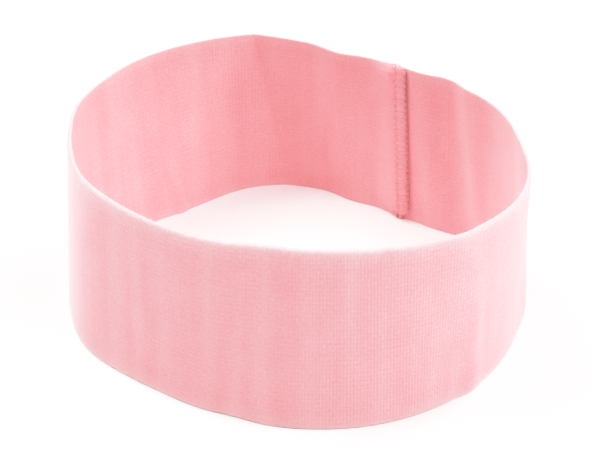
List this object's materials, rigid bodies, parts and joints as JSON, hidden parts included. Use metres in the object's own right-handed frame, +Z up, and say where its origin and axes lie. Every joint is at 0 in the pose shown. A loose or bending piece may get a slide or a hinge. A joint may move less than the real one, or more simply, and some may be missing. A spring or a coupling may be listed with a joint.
{
  "type": "headband",
  "caption": "Wide stretch headband: an elastic strip closed into a loop by an overlocked seam, standing on its edge.",
  "frame": {"origin": "middle of the loop's footprint, on the surface that its lower edge stands on", "axes": "+Z up across the strip's width; +Y out through the seam at the nape; +X to the right, seen from the front looking along +Y"},
  "size_m": [0.1548, 0.1376, 0.06],
  "materials": {
    "elastic_cloth": "matt woven elastic with fine ribs across and a soft sheen",
    "elastic_core": "dull natural rubber thread",
    "needle_thread": "twisted polyester sewing thread",
    "looper_thread": "textured polyester overlocking thread"
  },
  "bodies": {
    "front_half": {"cover_front": "elastic_cloth", "elastic_threads_front": "elastic_core"},
    "back_half": {"cover_back_left": "elastic_cloth", "cover_back_right": "elastic_cloth", "elastic_threads_back_left": "elastic_core", "elastic_threads_back_right": "elastic_core"},
    "seam_fold": {"left_seam_allowance": "elastic_cloth", "right_seam_allowance": "elastic_cloth", "elastic_threads_left_allowance": "elastic_core", "elastic_threads_right_allowance": "elastic_core", "needle_thread": "needle_thread", "upper_looper_thread": "looper_thread", "lower_looper_thread": "looper_thread"}
  },
  "joints": [
    {"name": "elastic_stretch", "type": "slide", "parent": "front_half", "child": "back_half", "axis": [0, 1, 0], "range_m": [0, 0.07], "stiffness_N_per_m": 140},
    {"name": "allowance_fold", "type": "hinge", "parent": "back_half", "child": "seam_fold", "pos_m": [-0.00078, 0.06578, 0], "axis": [0, 0, -1], "range_deg": [0, 170]}
  ]
}
